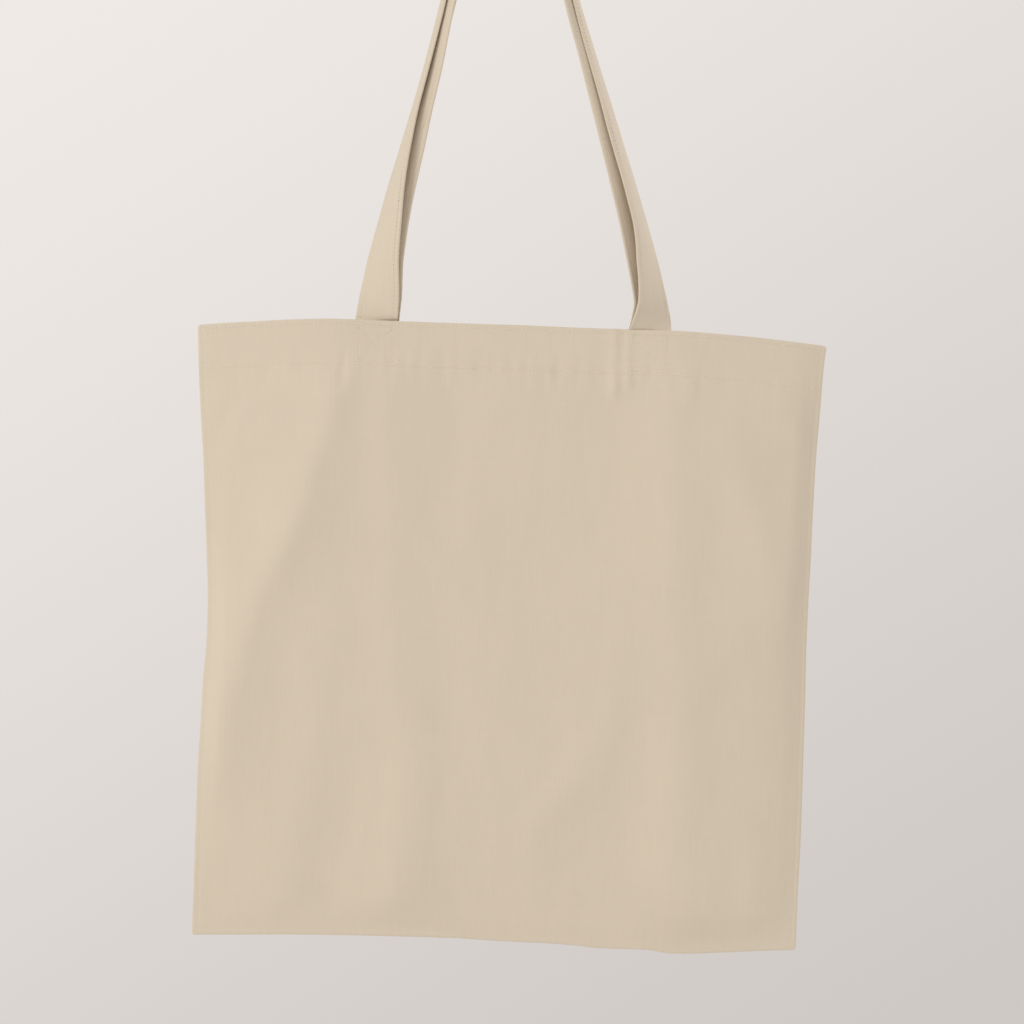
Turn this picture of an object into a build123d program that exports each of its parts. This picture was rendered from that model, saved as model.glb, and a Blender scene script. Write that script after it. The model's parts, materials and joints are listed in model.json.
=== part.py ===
"""A flat canvas tote bag hanging by its two handles over a round peg.

The origin is on the peg's axis, half way along the part of it that the handles cover.
+X is to the right and -Y to the front of the bag as it is looked at, and +Z is up.
The bag hangs turned a little clockwise, because its handle legs differ in length.
"""

from build123d import *
from math import asin, atan2, cos, degrees, exp, hypot, pi, radians, sin
import os

os.makedirs("parts", exist_ok=True)

# Peg and handles, in millimetres
PEG_R = 10.0               # the round peg that the bag hangs on
STRAP_W = 26.0             # width of a handle strap
STRAP_T = 1.8              # thickness of the folded and sewn strip
NEST_GAP = 1.2             # air between the two handles where they cross the peg
STRAP_SPACING = 165.0      # between the centres of one handle's two ends
BASE_GAP = 0.5             # a loop starts this far above the rim
HEM_CLEARANCE = 0.3        # between a loop and the hem that it folds over
TWIST_NEAR = 80.0          # turn that a leg takes close to the rim, in degrees
TWIST_REACH = 0.13         # how quickly it takes it, as a share of the leg
BACK_BOW = 6.0             # how far the back handle's legs bow inward of the front ones

# Bag
RIM_X, RIM_Z = 5.5, -303.0  # middle of the rim
TILT = 1.8                 # degrees, right side low
RIM_HALF = 189.5           # half the rim's width
RIM_DEPTH = 9.0            # from the mid plane to the outside of the hem
FLAT_HALF = 100.0          # the front and the back are flat this far each side of the middle
SEAM_HALF = 1.7            # half thickness at the side and bottom seams
CLOTH = 0.8                # canvas thickness
HEM_T = 2.0                # three layers of canvas in the hem
HEM_H = 28.0               # height of the hem
ALLOWANCE = 10.0           # width of the seam allowances inside the bag
BAG_H = 376.0              # rim to the lowest point of the bottom seam
ROOM_H = 362.0             # depth of the room inside, down to the bottom seam's allowances
STRAP_END_H = 29.0         # length of a handle end sewn inside the hem

# Threads
THREAD = 0.3               # how far the stitching stands proud
THREAD_W = 0.7             # width of a row of stitching
TOP_ROW = 2.6              # from the rim down to the hem's upper row of stitching
EDGE_INSET = 3.0           # the handles' stitch rows, from the strap's edges
BOX_W = 22.0               # sewn square with a cross, at each handle end
BOX_H = 21.4
BOX_DROP = 14.3            # from the rim down to the middle of the square
OVERLOCK = 1.2             # width of the thread wrapped over the raw edges
OVERLOCK_T = 1.4

HEM_IN = RIM_DEPTH - HEM_T
tilt = radians(TILT)
rim = Plane(origin=(RIM_X, 0, RIM_Z), x_dir=(cos(tilt), 0, -sin(tilt)), z_dir=(sin(tilt), 0, cos(tilt)))
front_view = Plane(origin=rim.origin, x_dir=rim.x_dir, z_dir=(0, -1, 0))

# Height above the rim, left and right half widths and half depth of the body below the hem
BODY = [
    (-HEM_H, RIM_HALF, RIM_HALF, RIM_DEPTH),
    (-80, 185.0, 186.5, 11.5),
    (-165, 181.0, 184.5, 13.0),
    (-260, 182.0, 183.5, 12.0),
    (-335, 182.5, 183.0, 7.5),
    (-ROOM_H, 182.5, 183.0, 3.6),
    (-BAG_H, 182.5, 183.0, SEAM_HALF + 0.3),
]
# Outlines of the rim and of the bottom seam, from left to right: across and above the middle of the rim
RIM_LINE = [(-200, -6), (-150, -3), (-83, 0), (0, 0.2), (83, 0), (150, -3.5), (200, -7.5)]
BOTTOM_LINE = [(-200, -373.8), (-110, -371), (0, -371.2), (55, -373.2), (112, -375.3), (200, -370.4)]
HEM_EDGE = 0.3             # half of the room between the two hems at the side seams
CUT = 2.0                  # spare height that the rim's outline trims off

# Shares of a leg's height, from the rim to the peg, where its sections lie
LEG_SHARES = (0, 0.02, 0.05, 0.085, 0.125, 0.17, 0.22, 0.28, 0.35, 0.45, 0.6, 0.75, 0.88, 1)


def half_section(height, left, right, depth, edge=SEAM_HALF, inset=0.0):
    """Front half of a cross-section: flat across the handles, falling away to the side seams.

    inset cuts its two ends square, where the seam allowances begin.
    """
    with BuildSketch(rim.offset(height)) as section:
        with BuildLine():
            Line((-FLAT_HALF, -depth), (FLAT_HALF, -depth))
            TangentArc((FLAT_HALF, -depth), (right, -edge), tangent=(1, 0))
            Polyline((right, -edge), (right, 0), (-left, 0), (-left, -edge))
            TangentArc((-FLAT_HALF, -depth), (-left, -edge), tangent=(-1, 0))
        make_face()
        if inset:
            with Locations(((right - left) / 2, 0)):
                Rectangle(left + right - 2 * inset, 4 * RIM_DEPTH, mode=Mode.INTERSECT)
    return section.sketch.face()


def below_hem():
    """Loft sections of the room inside the body, from the hem down to the bottom seam."""
    edge = SEAM_HALF - CLOTH
    rows = BODY[:-1]
    return [half_section(h, left, right, depth - CLOTH, edge, ALLOWANCE) for h, left, right, depth in rows]


def outside(grow=0.0):
    """The hem's outer section, grown outward."""
    return half_section(-HEM_H, RIM_HALF + grow, RIM_HALF + grow, RIM_DEPTH + grow, SEAM_HALF + grow)


def past(line, level, drop=0.0):
    """Front view of what lies between an outline, lowered by drop, and a level."""
    line = [(across, up - drop) for across, up in line]
    (left, _), (right, _) = line[0], line[-1]
    with BuildSketch(front_view) as view:
        with BuildLine():
            Spline(*line)
            Polyline(line[-1], (right, level), (left, level), line[0])
        make_face()
    return view.sketch.face()


# ---- canvas panels ----

THROUGH = 2 * RIM_DEPTH
with BuildPart() as front_panel:
    extrude(outside(), amount=HEM_H + CUT)
    loft([half_section(*row) for row in BODY[:-1]])
    loft([half_section(*row) for row in BODY[-2:]])
    # room inside: behind the three layers of the hem, then behind the single cloth
    mouth = half_section(-HEM_H, RIM_HALF, RIM_HALF, HEM_IN, HEM_EDGE, ALLOWANCE)
    extrude(mouth, amount=HEM_H + 2 * CUT, mode=Mode.SUBTRACT)
    loft(below_hem(), mode=Mode.SUBTRACT)
    # the rim droops to both corners
    extrude(past(RIM_LINE, 2 * CUT), amount=THROUGH, both=True, mode=Mode.SUBTRACT)
    # the bottom seam runs nearly straight and sags most right of its middle
    extrude(past(BOTTOM_LINE, -BAG_H - CUT), amount=THROUGH, both=True, mode=Mode.SUBTRACT)

# ---- handle ends, sewn flat inside the hem ----


def strap_end(side):
    """One of the front handle's sewn ends: side is -1 left or 1 right."""
    with BuildPart() as end:
        with BuildSketch(rim.offset(-STRAP_END_H)):
            with Locations((side * STRAP_SPACING / 2, -(HEM_IN - STRAP_T / 2))):
                Rectangle(STRAP_W, STRAP_T)
        extrude(amount=STRAP_END_H)
    return end


def box_stitch(side):
    """A sewn square with a cross in it, through the front of the hem and the handle end."""
    diagonal = hypot(BOX_W, BOX_H) - 2 * THREAD_W
    angle = degrees(atan2(BOX_H, BOX_W))
    with BuildPart() as stitch:
        with BuildSketch(front_view.offset(RIM_DEPTH)):
            with Locations((side * STRAP_SPACING / 2, -BOX_DROP)):
                Rectangle(BOX_W, BOX_H)
                Rectangle(BOX_W - 2 * THREAD_W, BOX_H - 2 * THREAD_W, mode=Mode.SUBTRACT)
                Rectangle(diagonal, THREAD_W, rotation=angle)
                Rectangle(diagonal, THREAD_W, rotation=-angle)
        extrude(amount=THREAD)
    return stitch


# ---- handle loops ----


def leg_planes(side, face):
    """Section planes up one leg: x across the strap, y through it, z along the leg."""
    seat_r = PEG_R + STRAP_T / 2 + (NEST_GAP + STRAP_T if face < 0 else 0)
    base_y = face * (HEM_IN - HEM_CLEARANCE - STRAP_T / 2)
    base = rim.from_local_coords(Vector(side * STRAP_SPACING / 2, base_y, BASE_GAP))
    # the outer edge runs straight from the rim to where it leaves the peg
    foot_x = base.X + side * STRAP_W / 2
    lean = atan2(abs(foot_x), -base.Z) - asin(seat_r / hypot(foot_x, base.Z))
    top_x = side * seat_r * cos(lean)
    top_z = seat_r * sin(lean)
    planes = []
    for share in LEG_SHARES:
        near = (1 - exp(-share / TWIST_REACH)) / (1 - exp(-1 / TWIST_REACH))
        twist = radians(TWIST_NEAR * near + (90 - TWIST_NEAR) * share)
        bow = BACK_BOW * sin(pi * share**0.7) if face > 0 else 0
        centre = Vector(
            foot_x + (top_x - foot_x) * share - side * (STRAP_W / 2 * cos(twist) + bow),
            base.Y * (1 - share),
            base.Z + (top_z - base.Z) * share,
        )
        across = Vector(-side * cos(twist), -sin(twist), 0)
        along = Vector(-side * sin(lean * near), 0, cos(lean * near)) if share else rim.z_dir
        planes.append(Plane(origin=centre, x_dir=across, z_dir=along))
    return planes, lean


def strip_over_peg(face, width, thickness, shift=0.0, lift=0.0):
    """A strip along a handle: two twisted legs and the turn over the peg between them.

    face is -1 for the front handle and 1 for the back one. A row of stitching is a narrow
    strip, shifted across the strap and lifted off the face that is outside on the peg.
    """
    legs = {side: leg_planes(side, face) for side in (-1, 1)}
    sections = {-1: [], 1: []}
    for side, (planes, _) in legs.items():
        for plane in planes:
            with BuildSketch(plane) as section:
                with Locations((shift, side * lift)):
                    Rectangle(width, thickness)
            sections[side].append(section.sketch.face())
    wrap = 180 - degrees(legs[-1][1]) - degrees(legs[1][1])
    with BuildPart() as strip:
        loft(sections[-1], ruled=True)
        loft(sections[1], ruled=True)
        revolve(sections[-1][-1], axis=Axis.Y, revolution_arc=wrap)
    return strip


def edge_stitching(face):
    """The two rows that hold a handle's folded strip closed."""
    lift = (STRAP_T + THREAD) / 2
    with BuildPart() as rows:
        for shift in (-STRAP_W / 2 + EDGE_INSET, STRAP_W / 2 - EDGE_INSET):
            add(strip_over_peg(face, THREAD_W, THREAD, shift, lift).part)
    return rows


# ---- threads of the hem and of the seams inside ----

with BuildPart() as hem_stitching:
    # one row just under the rim
    extrude(outside(THREAD), amount=HEM_H)
    lower_edge, upper_edge = (past(RIM_LINE, 2 * CUT, TOP_ROW + part * THREAD_W / 2) for part in (1, -1))
    extrude(lower_edge, amount=THROUGH, both=True, mode=Mode.INTERSECT)
    extrude(upper_edge, amount=THROUGH, both=True, mode=Mode.SUBTRACT)
    # and one along the hem's lower edge
    extrude(outside(THREAD), amount=THREAD_W)
    extrude(outside(), amount=HEM_H, mode=Mode.SUBTRACT)
    mirror(about=Plane.XZ)


def side_seam(side):
    """Thread wrapped over the raw edges of a side seam's allowances."""
    sections = []
    for height, left, right, _ in BODY[:-1]:
        reach = (left if side < 0 else right) - ALLOWANCE - THREAD - OVERLOCK / 2
        # it starts just under the hem and ends just over the bottom seam's own thread
        with BuildSketch(rim.offset(max(min(height, -HEM_H - 1), -ROOM_H + 2 * OVERLOCK))) as section:
            with Locations((side * reach, 0)):
                Rectangle(OVERLOCK, OVERLOCK_T)
        sections.append(section.sketch.face())
    with BuildPart() as seam:
        loft(sections)
    return seam


with BuildPart() as bottom_seam_thread:
    with BuildSketch(rim.offset(-ROOM_H + THREAD)):
        Rectangle(2 * (BODY[-1][1] - ALLOWANCE - 2 * OVERLOCK), OVERLOCK_T)
    extrude(amount=OVERLOCK)


def behind(piece):
    """The same piece on the back of the bag."""
    with BuildPart() as back:
        mirror(piece.part, about=Plane.XZ)
    return back


pieces = {
    "front_panel": front_panel,
    "back_panel": behind(front_panel),
    "front_handle_loop": strip_over_peg(-1, STRAP_W, STRAP_T),
    "back_handle_loop": strip_over_peg(1, STRAP_W, STRAP_T),
    "front_handle_stitching": edge_stitching(-1),
    "back_handle_stitching": edge_stitching(1),
    "hem_stitching": hem_stitching,
    "left_seam_thread": side_seam(-1),
    "right_seam_thread": side_seam(1),
    "bottom_seam_thread": bottom_seam_thread,
}
for word, side in (("left", -1), ("right", 1)):
    pieces[f"front_{word}_strap_end"] = strap_end(side)
    pieces[f"back_{word}_strap_end"] = behind(strap_end(side))
    pieces[f"front_{word}_box_stitching"] = box_stitch(side)
    pieces[f"back_{word}_box_stitching"] = behind(box_stitch(side))

for label, piece in pieces.items():
    piece.part.label = label
    export_step(piece.part, f"parts/{label}.step")
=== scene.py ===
"""The looks of a flat canvas tote bag that hangs by its two handles.

Shapes are worked out in millimetres in the bag's own frame: u to the right along the rim, y to the
back and w up, from the middle of the rim. The rim's place and tilt come from the handles' joints.
"""

import json
from math import asin, atan2, cos, hypot, pi, radians, sin

import bpy
import numpy as np
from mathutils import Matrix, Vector


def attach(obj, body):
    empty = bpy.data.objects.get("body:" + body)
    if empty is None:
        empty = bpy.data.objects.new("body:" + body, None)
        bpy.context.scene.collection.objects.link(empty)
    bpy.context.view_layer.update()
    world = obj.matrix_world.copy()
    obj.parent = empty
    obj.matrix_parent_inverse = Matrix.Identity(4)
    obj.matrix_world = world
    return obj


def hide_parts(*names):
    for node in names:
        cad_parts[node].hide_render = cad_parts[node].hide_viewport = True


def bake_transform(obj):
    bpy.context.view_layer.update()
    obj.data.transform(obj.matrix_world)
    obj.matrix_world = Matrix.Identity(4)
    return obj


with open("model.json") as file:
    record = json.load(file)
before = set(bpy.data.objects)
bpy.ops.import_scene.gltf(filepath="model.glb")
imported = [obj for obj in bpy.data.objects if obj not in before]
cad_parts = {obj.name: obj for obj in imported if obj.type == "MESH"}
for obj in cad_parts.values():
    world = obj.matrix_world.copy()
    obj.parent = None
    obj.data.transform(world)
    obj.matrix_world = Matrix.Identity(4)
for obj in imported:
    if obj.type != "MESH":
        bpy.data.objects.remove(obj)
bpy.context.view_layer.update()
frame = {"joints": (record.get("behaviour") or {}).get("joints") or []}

MM = 0.001
FLIPPED = [0, 3, 2, 1]     # a quad's corners the other way round
SHARP_ANGLE = 50           # edges that turn by more degrees than this stay sharp

# Canvas and its seams
CLOTH = 0.66               # canvas thickness
HEM = 28.0                 # height of the hem
HEM_TUCK = 10.0            # raw edge turned in between the hem's two layers
HEM_STACK = 1.34           # from the middle of the outer layer to the middle of the inner one
RIM_TURN = 1.0             # height of the turn over the rim
ALLOWANCE = 10.0           # width of the seam allowances, which stand together inside the bag
ALLOWANCE_Y = 0.4          # the middle of an allowance's cloth, from the bag's mid plane
PRESSED = 0.12             # how much closer the side seams hold the two panels inside the hem
SEAM_DROP = 376.0          # from the rim down to the bottom seam, where both are straight
FADE = 40.0                # the rim's droop fades into the bottom seam's line from this far below it
SEAM_DEPTH = 1.6           # half depth of the bag at its seams
SEAM_LINE = 2.9            # dent left by the seam's stitching, in from the side edges
FLAT_HALF = 100.0          # the panels are flat this far each side of the middle
FOLD_STEPS = 4             # mesh steps round a folded edge
ALLOWANCE_STEPS = 5        # mesh lines across an allowance

# Handles
STRAP_W = 26.0
STRAP_T = 1.8
STRAP_SPACING = 165.0
STRAP_END = 29.0           # sewn inside the hem
STRAP_BASE_Y = 5.9         # middle of a strap, from the bag's mid plane, where it is sewn
BASE_GAP = 0.5             # from the rim up to the foot of a strap's free part
PEG_R = 10.0
NEST = 3.0                 # from one handle to the other over the peg
OUTER_SEAT = PEG_R + STRAP_T / 2 + NEST   # from the peg's axis to the middle of the front handle
EDGE_ROW = 3.0             # the straps' stitch rows, from their edges
STRAP_ROUND = 0.9          # roundness of the straps' two edges
LIP = 0.42                 # half thickness of the two lips along the outer edge
ROW_DENT = 0.14            # depth of the groove along a strap's stitch row
BEND_START, BEND_END = -1.0, 6.0   # heights above the rim between which a folding handle would bend; below they only give two points that are not used
CLOSING = 2.75             # how soon above the rim the two handles come together
FORWARD = 5.0              # how far the back handle then slips to the front of the other one
CURL = {-1: 0.6, 1: 2.0}   # curl of the front and the back handle half way up, from edge to edge in radians
# How the legs turn edge-on on their way up, for the left and the right: share of the leg's height, width that
# the front strap shows, width that both show together, the back strap's own width as seen from the front,
# and how far the outline bows outward
LEGS = {
    -1: ((0, 26, 26.3, 26, 0), (0.04, 24.6, 25.8, 25, 1.0), (0.08, 22.0, 23.9, 22, 1.5),
         (0.12, 19.0, 21.8, 19, 1.8), (0.16, 16.5, 20.2, 16.4, 1.6), (0.20, 14.0, 18.8, 14.4, 1.2),
         (0.24, 11.6, 17.8, 13.2, 0.9), (0.28, 9.5, 16.9, 12.4, 0.5), (0.32, 7.7, 15.7, 11.8, -0.2),
         (0.36, 6.1, 14.5, 11.2, -1.0), (0.40, 4.6, 13.2, 10.3, -1.8), (0.44, 3.6, 12.1, 9.2, -2.6),
         (0.52, 3.0, 10.9, 8.0, -3.4), (0.60, 2.9, 9.4, 6.5, -3.5), (0.8, 1.8, 6.4, 3.5, -2.2),
         (1, 0, 2.9, 0, 0)),
    1: ((0, 25.4, 25.4, 26, 0), (0.03, 21.0, 22.2, 23, 1.6), (0.055, 17.8, 20.0, 20, 2.5),
        (0.09, 15.2, 19.3, 17.6, 3.1), (0.135, 12.8, 18.6, 15.6, 3.6), (0.17, 10.4, 17.8, 14.4, 3.7),
        (0.21, 8.7, 16.9, 13.2, 3.7), (0.29, 7.8, 15.6, 12.2, 3.5), (0.37, 7.0, 13.9, 10.9, 2.8),
        (0.45, 6.3, 12.6, 9.7, 2.3), (0.53, 5.3, 10.9, 8.0, 1.4), (0.61, 4.1, 9.7, 6.8, 0.7),
        (0.8, 1.9, 6.2, 3.3, 0.2), (1, 0, 2.9, 0, 0)),
}

# Stitching
HEM_ROW, HEM_PITCH = 26.8, 2.1     # the row along the hem's lower edge: depth below the rim, stitch spacing
TOP_ROW, TOP_PITCH = 2.6, 2.5      # the row under the rim
BOX_W, BOX_H = 22.0, 21.4          # the squares that hold the handles
BOX_DROP = 14.3                    # middle of a sewn square, below the rim
STRAP_PITCH = 2.6
OVERLOCK_PITCH, OVERLOCK_REACH = 2.4, 3.2

# Half widths at heights below the rim
LEFT_EDGE = ((0, 190.6), (24, 189.4), (54, 187.2), (84, 184.7), (114, 182.8), (144, 180.8), (170, 179.4),
             (190, 179.3), (220, 180.8), (250, 181.6), (281, 182.4), (380, 182.7))
RIGHT_EDGE = ((0, 190.0), (12, 188.7), (42, 187.1), (72, 185.6), (103, 184.8), (133, 184.4), (163, 183.7),
              (194, 183.4), (224, 183.7), (300, 183.7), (337, 183.0), (380, 182.5))
# Heights of the rim and of the bottom seam, from left to right
RIM = ((-195, -6.0), (-189, -5.3), (-174, -3.8), (-159, -2.7), (-137, -0.9), (-107, 0.5), (-53, 0.2),
       (0, 0.2), (53, -0.3), (98, -0.3), (113, -0.8), (128, -1.5), (144, -2.4), (159, -3.6), (174, -4.9),
       (195, -6.8))
BOTTOM = ((-195, -373.8), (-183, -373.3), (-148, -372.2), (-117, -371.2), (-80, -370.6), (-27, -370.4),
          (4, -371.4), (34, -371.9), (49, -372.6), (64, -373.8), (92, -373.8), (106, -375.6),
          (118, -375.4), (137, -374.1), (167, -372.0), (195, -370.4))
# Half depth of the bag at heights below the rim, and at the side seams
DEPTH = ((0, 9.0), (28, 9.0), (80, 9.6), (165, 10.2), (260, 9.4), (335, 6.4), (362, 3.6),
         (SEAM_DROP, SEAM_DEPTH), (380, SEAM_DEPTH))
EDGE_DEPTH = ((0, 2.1), (26, 2.1), (34, 1.65), (SEAM_DROP, SEAM_DEPTH))

# Soft folds of the front: crest points (u, depth below the rim), rise, reach to the left and to the right,
# and for a crease the bluntness of its crest
FRONT_FOLDS = (
    (((-102, 30), (-112, 73), (-125, 115), (-145, 161), (-159, 203), (-166, 235)), 9.0, 46, 38, 0.18),
    (((-110, 215), (-117, 276), (-126, 330)), 1.3, 18, 16),
    (((-72, 35), (-69, 138), (-63, 228), (-53, 262), (-57, 319), (-64, 366)), 2.2, 15, 20),
    (((-53, 240), (-50, 275), (-56, 330)), 1.3, 17, 16),
    (((173, 50), (168, 150), (156, 230), (152, 330)), 3.4, 42, 26),
    (((98, 36), (102, 163), (109, 253), (111, 330)), 3.3, 20, 20),
    (((133, 68), (150, 113), (163, 152)), 1.9, 15, 13),
    (((163, 40), (175, 56), (187, 72)), 0.9, 9, 8),
    (((75, 191), (72, 224), (49, 270), (20, 308)), 1.4, 13, 17),
    (((-56, 122), (-27, 167), (-16, 215)), 0.9, 13, 12),
    (((61, -6), (62, 34)), 2.2, 3.2, 3.4),
    (((70, -2), (70, 30)), 1.7, 2.8, 3.4),
    (((101, 11), (108, 35)), 0.7, 4, 4),
    (((-164, 44), (-181, 72)), -0.8, 7, 7),
    (((-175, 90), (-179, 126)), -0.8, 8, 6),
    (((-92, 305), (-105, 366)), -0.8, 13, 10),
    (((-127, 345), (-158, 322)), 1.0, 12, 12),
    (((-101, 25), (-102, 33)), -1.5, 3.2, 3.0),
)
# and of the back
BACK_FOLDS = (
    (((-98, 30), (-104, 120), (-112, 240), (-118, 330)), 2.6, 24, 18),
    (((104, 30), (122, 110), (150, 190), (168, 280)), 3.4, 18, 30),
    (((-150, 70), (-163, 130), (-170, 180)), 1.2, 12, 12),
    (((-30, 150), (-8, 220), (14, 290)), 1.3, 15, 15),
    (((60, 120), (52, 220), (40, 320)), 1.4, 16, 14),
    (((-62, -4), (-60, 32)), 0.9, 6, 4),
)

CREASE_FALL = 1.6          # how steeply a crease falls away
FOLD_END = 50.0            # the longest run over which a fold dies out

# ---- the bag's frame ----

hinge = next(j for j in frame["joints"] if j["name"] == "front_handle_fold")
RIM_MID = np.array([hinge["pos_m"][0], 0, hinge["pos_m"][2]]) / MM
U_AXIS = np.array(hinge["axis"])
W_AXIS = np.array([-U_AXIS[2], 0, U_AXIS[0]])
Y_AXIS = np.array([0.0, 1.0, 0.0])


def in_bag(u, y, w):
    """Points of the bag's frame in the row frame, in millimetres."""
    u, y, w = np.broadcast_arrays(u, y, w)
    return RIM_MID + u[..., None] * U_AXIS + y[..., None] * Y_AXIS + w[..., None] * W_AXIS


def curve(x, points):
    """A smooth curve through given points."""
    xs, ys = np.array(points, float).T
    rise = np.diff(ys) / np.diff(xs)
    # no slope at a high or low point, so that the curve never swings past its points
    inner = np.where(rise[:-1] * rise[1:] > 0, 2 * rise[:-1] * rise[1:], 0)
    inner = inner / np.where(rise[:-1] + rise[1:] == 0, 1, rise[:-1] + rise[1:])
    slopes = np.concatenate([rise[:1], inner, rise[-1:]])
    x = np.clip(np.asarray(x, float), xs[0], xs[-1])
    i = np.clip(np.searchsorted(xs, x) - 1, 0, len(xs) - 2)
    step = xs[i + 1] - xs[i]
    t = (x - xs[i]) / step
    level = ys[i] * (2 * t**3 - 3 * t**2 + 1) + ys[i + 1] * (3 * t**2 - 2 * t**3)
    return level + step * (slopes[i] * (t**3 - 2 * t**2 + t) + slopes[i + 1] * (t**3 - t**2))


def table(places, values, x):
    """The smooth curve through a table's two columns."""
    return curve(x, list(zip(places, values)))


def ease(x, low, high):
    """0 below low, 1 above high and smooth between them."""
    t = np.clip((np.asarray(x, float) - low) / (high - low), 0, 1)
    return t * t * (3 - 2 * t)


def ridge(off, reach):
    """A bell curve: 1 on its line and almost 0 at twice its reach from it."""
    return np.exp(-((off / reach) ** 2))


def bumps(x, y, cell_x, cell_y, seed):
    """Smooth random heights from -1 to 1, with cells of the given size."""
    size = 512
    x, y = np.broadcast_arrays(np.asarray(x, float) / cell_x, np.asarray(y, float) / cell_y)
    i, j = np.floor(x).astype(int), np.floor(y).astype(int)
    value = np.random.default_rng(seed).uniform(-1, 1, (size, size))
    fx, fy = ease(x - i, 0, 1), ease(y - j, 0, 1)
    a, b = value[i % size, j % size], value[(i + 1) % size, j % size]
    c, d = value[i % size, (j + 1) % size], value[(i + 1) % size, (j + 1) % size]
    return (a * (1 - fx) + b * fx) * (1 - fy) + (c * (1 - fx) + d * fx) * fy


# ---- meshes ----


def make_mesh(name, points, faces, uvs=None, sharp_angle=SHARP_ANGLE):
    """A smoothly shaded mesh object from points in millimetres."""
    mesh = bpy.data.meshes.new(name)
    mesh.from_pydata((np.asarray(points) * MM).tolist(), [], faces)
    if uvs is not None:
        layer = mesh.uv_layers.new(name="cloth")
        corners = np.zeros(len(mesh.loops), int)
        mesh.loops.foreach_get("vertex_index", corners)
        layer.data.foreach_set("uv", (np.asarray(uvs)[corners] * MM).ravel())
    mesh.polygons.foreach_set("use_smooth", [True] * len(mesh.polygons))
    if sharp_angle:
        mesh.set_sharp_from_angle(angle=radians(sharp_angle))
    thing = bpy.data.objects.new(name, mesh)
    bpy.context.scene.collection.objects.link(thing)
    return thing


def ring_faces(rows, around):
    """Quads between neighbouring rings of points, and the numbers of the points ring by ring."""
    a = np.arange(rows * around).reshape(rows, around)
    b = np.roll(a, -1, axis=1)
    return np.stack([a[:-1], b[:-1], b[1:], a[1:]], -1).reshape(-1, 4), a


def path_length(points):
    """Length along a path up to each of its points."""
    return np.concatenate([[0], np.cumsum(np.linalg.norm(np.diff(points, axis=0), axis=1))])


def along_path(at, length, path):
    """Points at given lengths along a path."""
    return np.stack([np.interp(at, length, path[:, k]) for k in range(3)], -1)


def thicken(thing, thickness):
    """Gives a single layer of cloth its thickness, half to each side."""
    solid = thing.modifiers.new("thickness", "SOLIDIFY")
    solid.thickness = thickness * MM
    solid.offset = 0
    mesh = bpy.data.meshes.new_from_object(thing.evaluated_get(bpy.context.evaluated_depsgraph_get()))
    thing.modifiers.clear()
    thing.data = mesh
    mesh.set_sharp_from_angle(angle=radians(SHARP_ANGLE))


def steps(*runs):
    """Positions along runs of (start, end, step)."""
    parts = [np.linspace(a, b, max(1, round(abs(b - a) / step)), endpoint=False) for a, b, step in runs]
    return np.concatenate(parts + [[runs[-1][1]]])


# ---- the panels' shape ----


def half_width(u, drop):
    """The bag's half width on u's side, at a height below the rim."""
    return np.where(np.asarray(u) < 0, curve(drop, LEFT_EDGE), curve(drop, RIGHT_EDGE))


def fold_rise(u, drop, folds):
    """How far the soft folds stand out."""
    rise = np.zeros(np.broadcast(u, drop).shape)
    for crest, height, left, right, *blunt in folds:
        at, down = np.array(sorted(crest, key=lambda p: p[1]), float).T
        middle = np.interp(drop, down, at)
        lean = np.gradient(at, down).mean()
        off = (u - middle) / hypot(1, lean)
        reach = np.where(off < 0, left, right)
        ends = np.clip(np.maximum(down[0] - drop, drop - down[-1]), 0, None) / min(FOLD_END, left + right)
        # a crease falls away evenly from a narrow crest, as wide as its bluntness
        fall = CREASE_FALL * (np.hypot(off / reach, blunt[0]) - blunt[0]) if blunt else (off / reach) ** 2
        rise = rise + height * np.exp(-fall - ends**2)
    return rise


def puckers(u, drop, seed):
    """Small gathers that the hem's stitching pulls into the cloth, strongest between the handles."""
    strength = 0.45 + 0.55 * np.exp(-((u / 62) ** 4))
    gathers = bumps(u, 0, 4.6, 1, seed) + 0.5 * bumps(u, drop, 3.0, 12, seed + 1)
    return 0.5 * strength * gathers * ridge(drop - HEM_ROW, 9)


def dents(u, drop):
    """Grooves along the stitch rows, the seams and the sewn squares."""
    groove = 0.12 * ridge(drop - HEM_ROW, 0.7) + 0.08 * ridge(drop - TOP_ROW, 0.7)
    inset = half_width(u, drop) - np.abs(u)
    groove = groove + 0.22 * ridge(inset - SEAM_LINE, 0.8)
    x, y = np.abs(np.abs(u) - STRAP_SPACING / 2), np.abs(drop - BOX_DROP)
    square = np.maximum(x - BOX_W / 2, y - BOX_H / 2)
    cross = np.abs(x * BOX_H - y * BOX_W) / hypot(BOX_W, BOX_H)
    inside = square < 0
    return groove + 0.12 * ridge(square, 0.8) + 0.12 * inside * ridge(cross, 0.8)


def half_depth(u, drop, face):
    """From the bag's mid plane to the outside of a panel. face is -1 in front and 1 behind."""
    edge = curve(drop, EDGE_DEPTH)
    deep = curve(drop, DEPTH)
    # how far out on the curved part towards the side seam, from 0 to 1
    out = np.clip((np.abs(u) - FLAT_HALF) / (half_width(u, drop) - FLAT_HALF), 0, 1)
    body = edge + (deep - edge) * (1 - out**2)
    # folds die out towards the seams and are shallower in the stiff hem
    room = ease(1 - out, 0.0, 0.16) * (1 - ease(drop, 352, 374)) * (0.4 + 0.6 * ease(drop, 14, 48))
    folds = fold_rise(u, drop, FRONT_FOLDS if face < 0 else BACK_FOLDS)
    folds = folds + 0.55 * bumps(u, drop, 26, 60, 40 + face) + 0.22 * bumps(u, drop, 11, 30, 50 + face)
    # the gathers stop short of the side seams
    side = ease(half_width(u, drop) - np.abs(u), 1, 8)
    small = puckers(u, drop, 60 + face) * side - dents(u, drop)
    return np.maximum(body + room * folds, edge) + small


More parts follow.
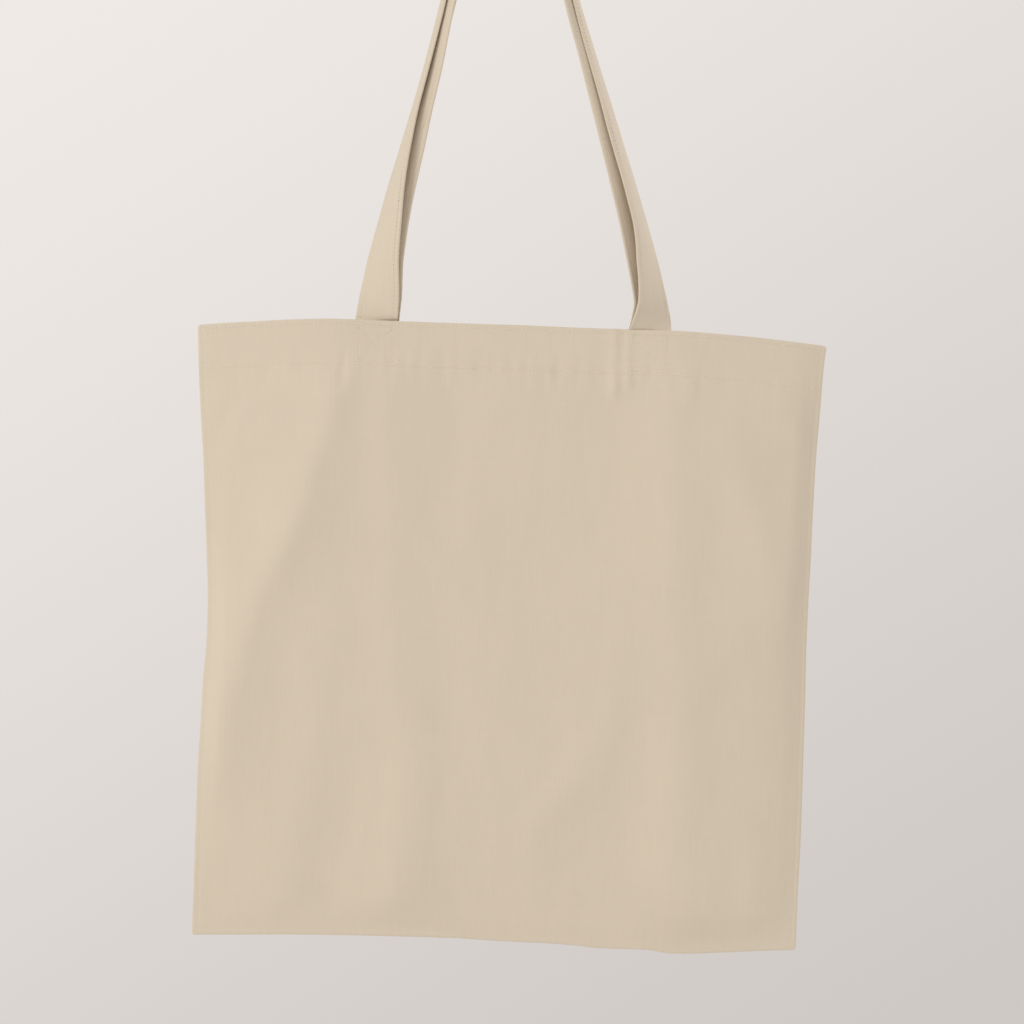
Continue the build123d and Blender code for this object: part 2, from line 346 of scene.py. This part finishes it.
def panel_rows():
    """Mesh rows from the hem's raw edge to the bottom allowance's: (kind, place, offset inward).

    The place is a depth below the rim, a turn round the bottom fold or a height above the bottom seam.
    """
    turn = np.linspace(0, pi, FOLD_STEPS + 2)[1:-1]
    stack, fold = HEM_STACK, HEM - 0.4
    rows = [("hem", d, stack / 2) for d in np.linspace(HEM - HEM_TUCK, fold, 4)]
    rows += [("hem", fold + stack / 4 * sin(a), stack * (3 - cos(a)) / 4) for a in turn]
    rows += [("hem", d, stack) for d in np.linspace(fold, RIM_TURN, 12)]
    rows += [("hem", RIM_TURN - stack / 2 * sin(a), stack * (1 + cos(a)) / 2) for a in turn]
    outer = steps((RIM_TURN, 5, 0.7), (5, 23, 1.3), (23, 32, 0.8), (32, 60, 2.0), (60, 345, 3.2),
                  (345, SEAM_DROP, 1.6))
    rows += [("outer", d, 0.0) for d in outer]
    rows += [("bottom", a, 0.0) for a in turn]
    return rows + [("up", d, 0.0) for d in np.linspace(0.0, ALLOWANCE, ALLOWANCE_STEPS)]


def panel_columns():
    """Mesh columns from the left allowance's raw edge to the right one's: (kind, side, place).

    The place is a width of allowance, a turn round the side fold or a share of the half width.
    """
    turn = np.linspace(0, pi, FOLD_STEPS + 2)[1:-1]
    inward = np.linspace(ALLOWANCE, 0.0, ALLOWANCE_STEPS)
    # closer together where the folds are sharper
    across = steps((-190, -185, 0.8), (-185, -108, 2.4), (-108, -67, 1.1), (-67, 52, 2.1), (52, 98, 1.1),
                   (98, 185, 2.4), (185, 190, 0.8)) / 190
    columns = [("in", -1, d) for d in inward] + [("fold", -1, pi - a) for a in turn]
    columns += [("body", 0, s) for s in across]
    return columns + [("fold", 1, a) for a in turn] + [("in", 1, d) for d in inward[::-1]]


def panel(name, face):
    """One panel: a single cloth with its hem turned twice and its allowances turned in."""
    rows, columns = panel_rows(), panel_columns()
    shape = (len(rows), len(columns))
    points = np.zeros(shape + (3,))
    used = np.ones(shape, bool)
    for i, (row, place, offset) in enumerate(rows):
        level = place if row in ("hem", "outer") else SEAM_DROP
        for side in (-1, 1, 0):
            pick = np.array([k for k, column in enumerate(columns) if column[1] == side])
            kind = np.array([columns[k][0] for k in pick])
            value = np.array([columns[k][2] for k in pick])
            across = np.full(len(pick), float(side)) if side else value
            drop = np.full(len(pick), float(level))
            edge_y = curve(drop, EDGE_DEPTH) - CLOTH / 2
            # the two panels press together where the seam runs through the hem
            tuck_y = ALLOWANCE_Y - PRESSED * (1 - ease(drop, HEM, HEM + 6))
            r = (edge_y - tuck_y) / 2
            u = across * (half_width(across, drop) - CLOTH / 2 - r)
            # the rim's droop fades, below the hem, into the bottom seam's own line
            length = curve(u, RIM) - curve(u, BOTTOM)
            below = FADE + (drop - FADE) * (length - FADE) / (SEAM_DROP - FADE)
            w = curve(u, RIM) - np.where(drop < FADE, drop, below)
            y = half_depth(u, drop, face) - CLOTH / 2 - offset
            if side:
                folded, tucked = kind == "fold", kind == "in"
                u = np.where(folded, u + side * r * np.sin(value), u)
                y = np.where(folded, edge_y - r + r * np.cos(value), y)
                y = np.where(tucked, tuck_y + 0.25 * np.sin(drop / 21 + value / 4) * (value / ALLOWANCE), y)
                u = np.where(tucked, u - side * value, u)
                # the hem's inner layers end at the side folds, and the allowances begin below the hem
                used[i, pick] = row == "outer"
                used[i, pick[tucked]] = row == "outer" and level >= HEM + 0.8
            if row == "bottom":
                r = (SEAM_DEPTH - CLOTH / 2 - ALLOWANCE_Y) / 2
                y = np.full(len(pick), SEAM_DEPTH - CLOTH / 2 - r * (1 - cos(place)))
                w = w - r * sin(place)
            if row == "up":
                y = ALLOWANCE_Y + 0.2 * np.sin(u / 19) * place / ALLOWANCE
                w = w + place
            points[i, pick] = np.stack([u, face * y, w], -1)
    # the cloth laid flat: its length along the middle column and its width along a row half way down
    middle = int(np.argmin([abs(place) if kind == "body" else 9 for kind, _, place in columns]))
    outer = [i for i, row in enumerate(rows) if row[0] == "outer"]
    along = path_length(points[:, middle])
    across = path_length(points[outer[0] + len(outer) // 2])
    flat = np.stack(np.broadcast_arrays(across[None, :], along[:, None]), -1)

    index = -np.ones(shape, int)
    index[used] = np.arange(used.sum())
    quads = np.stack([index[:-1, :-1], index[1:, :-1], index[1:, 1:], index[:-1, 1:]], -1).reshape(-1, 4)
    quads = quads[(quads >= 0).all(1)]
    if face > 0:
        quads = quads[:, ::-1]
    cloth = make_mesh(name, in_bag(*points[used].T), quads.tolist(), flat[used])
    thicken(cloth, CLOTH)
    return cloth, (float(across[-1]), float(along[-1]))


front_cloth, cut = panel("front_panel_cloth", -1)
back_cloth, back_cut = panel("back_panel_cloth", 1)


def skin(u, drop, face, proud=0.0):
    """Points on the outside of a panel's hem, or as far proud of it as given."""
    return in_bag(u, face * (half_depth(u, drop, face) + proud), curve(u, RIM) - drop)


# ---- the handles ----


def turn_to_show(shows, curl):
    """The turn at which a curled strap shows a given width, and how much of that lies inside its middle."""
    half = np.maximum(curl, 1e-4) / 2
    radius = STRAP_W / (2 * half)
    turn = np.arccos(np.clip(shows / (2 * radius * np.sin(half)), 0, 1))
    # past this turn the outer edge is out of sight behind the curl
    turn = np.where(turn + half > pi / 2, np.arcsin(np.clip(1 - shows / radius, -1, 1)) + half, turn)
    return turn, radius * (np.sin(turn) - np.sin(turn - half))


def strap_line(face):
    """Points along a handle's middle, the directions from its outer to its inner edge, and its curl."""
    seat = OUTER_SEAT - (NEST if face > 0 else 0)
    middles, acrosses, leans = {}, {}, {}
    for side in (-1, 1):
        up, front_shows, both_show, back_shows, bow = np.array(LEGS[side]).T
        base = in_bag(side * STRAP_SPACING / 2, face * STRAP_BASE_Y, BASE_GAP)
        foot_x = base[0] + side * STRAP_W / 2
        # the lean of the straight line from the strap's foot to the peg
        lean = atan2(abs(foot_x), -base[2]) - asin(OUTER_SEAT / hypot(foot_x, base[2]))
        # closer together near the rim, where the strap turns most
        share = np.linspace(0, 1, 150) ** 1.35
        edge = foot_x + (side * OUTER_SEAT * cos(lean) - foot_x) * share + side * table(up, bow, share)
        shows = table(up, front_shows if face < 0 else back_shows, share)
        curl = CURL[face] * np.sin(pi * share) ** 0.8 * ease(share, 0, 0.15)
        twist, inside = turn_to_show(shows, curl)
        reach = shows if face < 0 else table(up, both_show, share)
        x = edge - side * (reach - inside)
        y = base[1] * (1 - share) ** CLOSING
        if face > 0:
            y = y - FORWARD * np.sin(pi * share) * ease(share, 0.05, 0.35)
        z = base[2] + (seat * sin(lean) - base[2]) * share
        leg = np.stack([x, y, z], -1)
        over = np.stack([-side * np.cos(twist), -np.sin(twist), 0 * twist], -1)
        down = np.linspace(-STRAP_END, BASE_GAP, 16)[:-1]
        sewn = in_bag(side * STRAP_SPACING / 2, face * STRAP_BASE_Y, down)
        middles[side] = np.concatenate([sewn, leg])
        acrosses[side] = np.concatenate([np.tile(-side * U_AXIS, (len(down), 1)), over])
        leans[side] = lean
    turn = np.linspace(leans[-1], pi - leans[1], 30)[1:-1]
    round_peg = np.stack([-seat * np.cos(turn), 0 * turn, seat * np.sin(turn)], -1)
    middle = np.concatenate([middles[-1], round_peg, middles[1][::-1]])
    across = np.concatenate([acrosses[-1], np.tile([0.0, -1.0, 0.0], (len(turn), 1)), acrosses[1][::-1]])
    curl = np.concatenate([0 * down, curl, 0 * turn, curl[::-1], 0 * down])
    return middle, across, curl


def strap_frame(face):
    """A handle's middle line, directions across it and out of its peg side, its curl and length so far."""
    middle, across, curl = strap_line(face)
    length = path_length(middle)
    tangent = np.gradient(middle, length, axis=0)
    inner = np.cross(tangent, across)
    inner /= np.linalg.norm(inner, axis=1)[:, None]
    return middle, across, inner, curl, length


def across_strap(x, y, curl):
    """Where a curl takes a point that lies x across the flat strap and y off its middle."""
    bend = np.maximum(curl, 1e-6) / STRAP_W
    turn = bend * x
    return np.sin(turn) / bend - y * np.sin(turn), (1 - np.cos(turn)) / bend + y * np.cos(turn)


def strap_section():
    """A closed section of the folded strip: two rounded faces, one folded edge and one with two lips."""
    half, thick = STRAP_W / 2, STRAP_T / 2
    x = np.linspace(STRAP_ROUND - half, half - STRAP_ROUND, 25)
    face = thick - ROW_DENT * ridge(np.abs(x) - (half - EDGE_ROW), 0.8) - 0.05 * (x / half) ** 2
    turn = np.linspace(pi / 2, -pi / 2, 7)[1:-1]
    folded = np.stack([half - STRAP_ROUND + STRAP_ROUND * np.cos(turn), thick * 0.94 * np.sin(turn)], -1)
    turn = np.linspace(pi / 2, -pi / 2, 5)[1:-1]
    lips = [np.stack([STRAP_ROUND - half - 0.75 * np.cos(turn), middle + LIP * np.sin(turn)], -1)
            for middle in (0.44, -0.44)]
    notch = [[0.8 - half, 0.0]]
    lips = np.concatenate([lips[0], notch, lips[1]])
    top, bottom = np.stack([x, face], -1), np.stack([x[::-1], -face[::-1]], -1)
    return np.concatenate([top, folded, bottom, lips[::-1]])


def strap(name, face):
    """One handle: a single folded strip from one sewn end over the peg to the other."""
    middle, across, inner, curl, length = strap_frame(face)
    section = strap_section()
    x, y = section.T
    sideways, off = across_strap(x[None, :], y[None, :], curl[:, None])
    # slight waves between the two edges, away from the sewn ends
    free = ease(length, 25, 60) * ease(length[-1] - length, 25, 60)
    wave = 0.22 * bumps(length, 0, 34, 1, 70 + face) * free
    off = off + wave[:, None] * (x / (STRAP_W / 2))[None, :]
    points = middle[:, None] + across[:, None] * sideways[..., None] + inner[:, None] * off[..., None]
    flat = np.stack(np.broadcast_arrays(path_length(section)[None, :], length[:, None]), -1).reshape(-1, 2)
    quads, rings = ring_faces(*points.shape[:2])
    faces = quads.tolist() + [rings[0].tolist()[::-1], rings[-1].tolist()]
    return make_mesh(name, points.reshape(-1, 3), faces, flat, 60), float(length[-1])


front_strap, strap_length = strap("front_handle_strap", -1)
back_strap, back_strap_length = strap("back_handle_strap", 1)

# ---- stitches ----


def stitches(name, starts, ends, outward, width, lift):
    """Separate stitches: small rounded threads that rise out of the cloth and dive back into it."""
    starts, ends, outward = (np.asarray(v, float) for v in (starts, ends, outward))
    outward = outward / np.linalg.norm(outward, axis=1)[:, None]
    along = ends - starts
    sideways = np.cross(along, outward)
    sideways /= np.linalg.norm(sideways, axis=1)[:, None]
    # rings along each stitch, from its start at -1 to its end at 1
    stations = np.array([-1.0, -0.86, -0.5, 0.0, 0.5, 0.86, 1.0])
    radius = np.array([0.25, 0.7, 0.95, 1.0, 0.95, 0.7, 0.25]) * width / 2
    height = lift * (1 - stations**2) - 0.35 * width * stations**2
    turn = np.arange(6) * pi / 3
    ring = (sideways[:, None, None] * np.cos(turn)[None, None, :, None]
            + outward[:, None, None] * np.sin(turn)[None, None, :, None]) * radius[None, :, None, None]
    centre = ((starts + ends) / 2)[:, None] + along[:, None] * (stations / 2)[None, :, None]
    centre = centre + outward[:, None] * height[None, :, None]
    points = (centre[:, :, None] + ring).reshape(-1, 3)

    quads, rings = ring_faces(len(stations), len(turn))
    first = (np.arange(len(starts)) * rings.size)[:, None, None]
    quads = (quads[None][..., FLIPPED] + first).reshape(-1, 4).tolist()
    caps = (np.stack([rings[0], rings[-1][::-1]])[None] + first).reshape(-1, len(turn)).tolist()
    size = np.linalg.norm(along, axis=1)
    v = (stations[None, :, None] + 1) / 2 * size[:, None, None] + 0 * turn
    u = np.broadcast_to(turn * width / 2, v.shape)
    return make_mesh(name, points, quads + caps, np.stack([u, v], -1).reshape(-1, 2), None)


def hem_rows():
    """The two rows along the hem, outside and inside both panels."""
    starts, ends, outward = [], [], []
    for face in (-1, 1):
        for row, (drop, pitch, share) in enumerate(((HEM_ROW, HEM_PITCH, 0.66), (TOP_ROW, TOP_PITCH, 0.62))):
            u = np.arange(-187.5, 187.0, pitch)
            drop = drop + 0.12 * bumps(u, 0, 9, 1, 80 + row + face)
            for proud, sign in ((0.0, 1), (-HEM_STACK - CLOTH, -1)):
                starts.append(skin(u, drop, face, proud))
                ends.append(skin(u + pitch * share, drop, face, proud))
                outward.append(np.tile([0.0, face * sign, 0.0], (len(u), 1)))
    return [np.concatenate(v) for v in (starts, ends, outward)]


def box_rows(side, face):
    """A sewn square with a cross in it, through the hem and a handle's end."""
    half_w, half_h = BOX_W / 2, BOX_H / 2
    a, b, c, d = (-half_w, -half_h), (half_w, -half_h), (half_w, half_h), (-half_w, half_h)
    starts, ends = [], []
    runs = ((a, b, 2.3), (b, c, 2.3), (c, d, 2.3), (d, a, 2.3), (a, c, 2.3), (b, d, 2.2))
    for (u0, d0), (u1, d1), pitch in runs:
        count = round(hypot(u1 - u0, d1 - d0) / pitch)
        t = np.arange(count) / count
        for spots, at in ((starts, t), (ends, t + 0.7 / count)):
            spots += list(zip(u0 + (u1 - u0) * at, d0 + (d1 - d0) * at))
    behind = face * (STRAP_BASE_Y - STRAP_T / 2)
    rows = []
    for spots in (starts, ends):
        u, drop = np.array(spots).T
        u, drop = side * STRAP_SPACING / 2 + u, BOX_DROP + drop
        rows.append(np.concatenate([skin(u, drop, face), in_bag(u, behind, curve(u, RIM) - drop)]))
    facing = np.tile([0.0, 1.0 * face, 0.0], (len(starts), 1))
    return *rows, np.concatenate([facing, -facing])


def strap_rows(face):
    """Two rows along a handle, on both of its faces."""
    middle, across, inner, curl, length = strap_frame(face)
    at = np.arange(2.0, length[-1] - 3.5, STRAP_PITCH)
    starts, ends, outward = [], [], []

    def spot(s, x, side):
        """Points at lengths s and x across, on one face of the strap, and which way that face looks."""
        place, over, out = (along_path(s, length, path) for path in (middle, across, inner))
        bent = np.interp(s, length, curl)
        sideways, off = across_strap(x, side * (STRAP_T / 2 - ROW_DENT), bent)
        tip = (bent * x / STRAP_W)[:, None]
        facing = side * (out * np.cos(tip) - over * np.sin(tip))
        return place + over * sideways[:, None] + out * off[:, None], facing

    for x in (EDGE_ROW - STRAP_W / 2, STRAP_W / 2 - EDGE_ROW):
        for side in (-1, 1):
            start, facing = spot(at, x, side)
            starts.append(start)
            ends.append(spot(at + STRAP_PITCH * 0.68, x, side)[0])
            outward.append(facing)
    return [np.concatenate(v) for v in (starts, ends, outward)]


def overlock(name, path, inward):
    """Thread wrapped over the raw edges of the two allowances."""
    length = path_length(path)
    at = np.arange(0.5, length[-1], OVERLOCK_PITCH / 2)
    spot = along_path(at, length, path)
    side = np.where(np.arange(len(at)) % 2, 1.0, -1.0)[:, None]
    level = (ALLOWANCE_Y + CLOTH / 2 + 0.12) * Y_AXIS
    near, far = spot - inward * 0.15, spot + inward * OVERLOCK_REACH
    hop = np.gradient(spot, axis=0)
    starts = np.concatenate([near + side * level, near - level])
    ends = np.concatenate([far + hop + side * level, near + level + hop * 0.2])
    outward = np.concatenate([side * Y_AXIS, np.tile(-inward, (len(at), 1))])
    return stitches(name, starts, ends, outward, 0.34, 0.1)


hem_thread = stitches("hem_stitches", *hem_rows(), 0.5, 0.2)
box_threads = {(face, side): stitches(f"{word}_{hand}_box_stitches", *box_rows(side, face), 0.42, 0.14)
               for face, word in ((-1, "front"), (1, "back")) for side, hand in ((-1, "left"), (1, "right"))}
strap_threads = {face: stitches(f"{word}_handle_stitches", *strap_rows(face), 0.36, 0.06)
                 for face, word in ((-1, "front"), (1, "back"))}

overlocks = {}
drops = np.arange(HEM + 2, 372.0 - ALLOWANCE, 6.0)
for side, word in ((-1, "left"), (1, "right")):
    reach = half_width(side, drops) - ALLOWANCE - 0.9
    overlocks[word] = overlock(f"{word}_seam_overlock", in_bag(side * reach, 0, -drops), side * U_AXIS)
low_u = np.arange(-170, 171, 5.0)
raw_edge = in_bag(low_u, 0, curve(low_u, BOTTOM) + ALLOWANCE + 0.3)
overlocks["bottom"] = overlock("bottom_seam_overlock", raw_edge, -W_AXIS)

# ---- materials ----

WEAVE_PITCH = 0.00058      # metres from one thread to the next


class Material:
    """A new material, and short ways to wire its nodes."""

    def __init__(self, name, colour, roughness, sheen):
        self.material = bpy.data.materials.new(name)
        self.material.use_nodes = True
        self.nodes, self.links = self.material.node_tree.nodes, self.material.node_tree.links
        self.colour = colour
        self.surface = self.nodes["Principled BSDF"]
        self.surface.inputs["Base Color"].default_value = (*colour, 1)
        self.surface.inputs["Roughness"].default_value = roughness
        self.surface.inputs["Specular IOR Level"].default_value = 0.25
        self.surface.inputs["Sheen Weight"].default_value = sheen
        self.surface.inputs["Sheen Roughness"].default_value = 0.5

    def math(self, kind, a, b=None):
        """A math node with its inputs set or linked."""
        node = self.nodes.new("ShaderNodeMath")
        node.operation = kind
        for socket, value in zip(node.inputs, (a, b)):
            if isinstance(value, bpy.types.NodeSocket):
                self.links.new(value, socket)
            elif value is not None:
                socket.default_value = value
        return node.outputs[0]

    def place(self):
        """Where a point lies on the flat cloth or thread, in metres: both together, then each."""
        uv = self.nodes.new("ShaderNodeUVMap")
        uv.uv_map = "cloth"
        split = self.nodes.new("ShaderNodeSeparateXYZ")
        self.links.new(uv.outputs[0], split.inputs[0])
        return uv.outputs[0], split.outputs[0], split.outputs[1]

    def noise(self, source, cell_u, cell_v, detail=1.0):
        """Noise with cells of the given size in metres."""
        mapping = self.nodes.new("ShaderNodeMapping")
        mapping.inputs["Scale"].default_value = (1 / cell_u, 1 / cell_v, 1)
        self.links.new(source, mapping.inputs["Vector"])
        noise = self.nodes.new("ShaderNodeTexNoise")
        noise.inputs["Scale"].default_value = 1
        noise.inputs["Detail"].default_value = detail
        self.links.new(mapping.outputs[0], noise.inputs["Vector"])
        return noise.outputs["Fac"]

    def finish(self, tone, height, strength, distance):
        """Multiplies the colour by a tone and raises the surface by a height."""
        mix = self.nodes.new("ShaderNodeVectorMath")
        mix.operation = "SCALE"
        mix.inputs[0].default_value = self.colour
        self.links.new(tone, mix.inputs["Scale"])
        self.links.new(mix.outputs[0], self.surface.inputs["Base Color"])
        bump = self.nodes.new("ShaderNodeBump")
        bump.inputs["Strength"].default_value = strength
        bump.inputs["Distance"].default_value = distance
        self.links.new(height, bump.inputs["Height"])
        self.links.new(bump.outputs[0], self.surface.inputs["Normal"])
        return self.material


def canvas(name, colour):
    """Plain-weave cotton: threads over and under, thicker slubs along both, soft unevenness, and painted
    shade in the gaps between the threads.
    """
    cloth = Material(name, colour, 0.92, 0.12)
    m = cloth.math
    uv, u, v = cloth.place()
    warp = m("SINE", m("MULTIPLY", u, pi / WEAVE_PITCH))
    weft = m("SINE", m("MULTIPLY", v, pi / WEAVE_PITCH))
    weave = m("POWER", m("ABSOLUTE", m("MULTIPLY", warp, weft)), 0.6)
    slub_warp = cloth.noise(uv, 0.0011, 0.030)
    slub_weft = cloth.noise(uv, 0.034, 0.0012)
    slubs = m("ADD", m("MULTIPLY", slub_warp, 0.65), m("MULTIPLY", slub_weft, 0.35))
    cloud = cloth.noise(uv, 0.05, 0.07, 3)
    tone = m("MULTIPLY", m("SUBTRACT", slubs, 0.5), 0.08)
    tone = m("ADD", tone, m("MULTIPLY", m("SUBTRACT", cloud, 0.5), 0.06))
    # painted shade: where the weave dips between threads the colour is darker, and it is lighter on the
    # threads' crowns
    tone = m("ADD", tone, m("MULTIPLY", m("SUBTRACT", weave, 0.7), 0.06))
    height = m("ADD", m("MULTIPLY", weave, 0.6), m("MULTIPLY", slubs, 0.9))
    return cloth.finish(m("ADD", tone, 1.0), height, 0.55, 0.00016)


def thread(name, colour):
    """Cotton sewing thread: two plies twisted round each other, with painted shade in the grooves between
    them.
    """
    cotton = Material(name, colour, 0.75, 0.1)
    m = cotton.math
    _, u, v = cotton.place()
    twist = m("ADD", m("MULTIPLY", u, 9500.0), m("MULTIPLY", v, 7500.0))
    ply = m("ABSOLUTE", m("SINE", twist))
    # painted shade: the colour is darker in the low grooves between the plies and lighter on their crowns
    return cotton.finish(m("ADD", m("MULTIPLY", ply, 0.16), 0.9), ply, 0.6, 0.00008)


for things, material in (
    ((front_cloth, back_cloth), canvas("canvas_body", (0.636, 0.545, 0.428))),
    ((front_strap, back_strap), canvas("canvas_strap", (0.632, 0.541, 0.424))),
    ((hem_thread, *box_threads.values()), thread("cotton_thread", (0.77, 0.69, 0.56))),
    (strap_threads.values(), thread("strap_thread", (0.67, 0.58, 0.46))),
    (overlocks.values(), thread("overlock_thread", (0.76, 0.70, 0.60))),
):
    for thing in things:
        thing.data.materials.append(material)

# ---- what rides on what ----

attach(front_cloth, "bag")
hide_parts("front_panel")
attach(back_cloth, "bag")
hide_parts("back_panel")
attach(hem_thread, "bag")
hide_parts("hem_stitching")
for thing in box_threads.values():
    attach(thing, "bag")
    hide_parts(thing.name.replace("_box_stitches", "_box_stitching"))
for word, thing in overlocks.items():
    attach(thing, "bag")
    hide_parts(f"{word}_seam_thread")

for face, word, cloth_piece in ((-1, "front", front_strap), (1, "back", back_strap)):
    low, high = (Vector(in_bag(0, face * STRAP_BASE_Y, w) * MM) for w in (BEND_START, BEND_END))
    for thing in (cloth_piece, strap_threads[face]):
        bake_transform(thing)
    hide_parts(f"{word}_handle_loop", f"{word}_left_strap_end", f"{word}_right_strap_end")
    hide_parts(f"{word}_handle_stitching")

# ---- floor, light and camera ----

# in metres
VIEW_X, VIEW_Z = 0.0048, -0.4156   # middle of the view
VIEW_WIDTH = 0.6195                # across the view at the bag's mid plane
DISTANCE = 2.2                     # from there to the camera
FLOOR_Z, FLOOR_R = -1.0, 1.25
LAMP_SIZE = 1.2


def floor_disc():
    """A pale floor under the bag, which fades out towards its edge."""
    radii = np.linspace(0.02, FLOOR_R, 24)[:, None]
    turn = np.arange(96) * pi / 48
    x, y, z = np.broadcast_arrays(VIEW_X + radii * np.cos(turn), radii * np.sin(turn), FLOOR_Z)
    points = np.stack([x, y, z], -1).reshape(-1, 3)
    quads, rings = ring_faces(len(radii), len(turn))
    floor = make_mesh("floor", points / MM, quads[:, FLIPPED].tolist() + [rings[0].tolist()])
    paint = Material("floor_paint", (0.80, 0.79, 0.775), 0.85, 0)
    nodes, links = paint.nodes, paint.links
    place = nodes.new("ShaderNodeTexCoord")
    flat = nodes.new("ShaderNodeVectorMath")
    flat.operation = "MULTIPLY"
    flat.inputs[1].default_value = (1, 1, 0)
    links.new(place.outputs["Object"], flat.inputs[0])
    far = nodes.new("ShaderNodeVectorMath")
    far.operation = "LENGTH"
    links.new(flat.outputs[0], far.inputs[0])
    fade = nodes.new("ShaderNodeMapRange")
    fade.interpolation_type = "SMOOTHSTEP"
    fade.inputs["From Min"].default_value = FLOOR_R
    fade.inputs["From Max"].default_value = 0.45 * FLOOR_R
    links.new(far.outputs["Value"], fade.inputs["Value"])
    links.new(fade.outputs[0], paint.surface.inputs["Alpha"])
    floor.data.materials.append(paint.material)
    return floor


def studio_world():
    """Even light from all round, and a pale backdrop with painted shade: brighter towards the upper left,
    where the light comes from, and darker towards the lower right.
    """
    world = bpy.data.worlds.new("studio")
    world.use_nodes = True
    nodes, links = world.node_tree.nodes, world.node_tree.links
    ray = nodes.new("ShaderNodeTexCoord")
    toward = nodes.new("ShaderNodeVectorMath")
    toward.operation = "DOT_PRODUCT"
    toward.inputs[1].default_value = (0.53, 0.0, -0.85)
    links.new(ray.outputs["Generated"], toward.inputs[0])
    painted_shade_ramp = nodes.new("ShaderNodeMapRange")
    painted_shade_ramp.interpolation_type = "SMOOTHSTEP"
    painted_shade_ramp.inputs["From Min"].default_value = -0.26
    painted_shade_ramp.inputs["From Max"].default_value = 0.26
    links.new(toward.outputs["Value"], painted_shade_ramp.inputs["Value"])
    # painted shade: the backdrop's colour runs from a lit tone at the upper left to a shaded tone at the
    # lower right
    backdrop = nodes.new("ShaderNodeMix")
    backdrop.data_type = "RGBA"
    backdrop.inputs["A"].default_value = (0.875, 0.835, 0.80, 1)
    backdrop.inputs["B"].default_value = (0.60, 0.565, 0.535, 1)
    links.new(painted_shade_ramp.outputs[0], backdrop.inputs["Factor"])
    seen = nodes.new("ShaderNodeBackground")
    links.new(backdrop.outputs["Result"], seen.inputs["Color"])
    glow = nodes.new("ShaderNodeBackground")
    glow.inputs["Color"].default_value = (1.0, 0.985, 0.97, 1)
    glow.inputs["Strength"].default_value = 0.88
    path = nodes.new("ShaderNodeLightPath")
    pick = nodes.new("ShaderNodeMixShader")
    links.new(path.outputs["Is Camera Ray"], pick.inputs["Fac"])
    links.new(glow.outputs[0], pick.inputs[1])
    links.new(seen.outputs[0], pick.inputs[2])
    links.new(pick.outputs[0], nodes["World Output"].inputs["Surface"])
    return world


def area_light(name, place, watts):
    """A square soft box aimed at the middle of the bag."""
    lamp = bpy.data.lights.new(name, "AREA")
    lamp.size = LAMP_SIZE
    lamp.energy = watts
    lamp.color = (1, 0.985, 0.972)
    thing = bpy.data.objects.new(name, lamp)
    thing.location = place
    aim = Vector((VIEW_X, 0, VIEW_Z)) - Vector(place)
    thing.rotation_euler = aim.to_track_quat("-Z", "Y").to_euler()
    bpy.context.scene.collection.objects.link(thing)


floor_disc()
bpy.context.scene.world = studio_world()
area_light("key", (-2.2, -1.8, 0.65), 26.5)
area_light("back_fill", (2.1, 1.6, 0.5), 20)

camera = bpy.data.objects.new("camera", bpy.data.cameras.new("camera"))
camera.location = (VIEW_X, -DISTANCE, VIEW_Z)
camera.rotation_euler = (pi / 2, 0, 0)
camera.data.lens = camera.data.sensor_width * DISTANCE / VIEW_WIDTH
bpy.context.scene.collection.objects.link(camera)
bpy.context.scene.camera = camera
bpy.context.scene.view_settings.view_transform = "Standard"
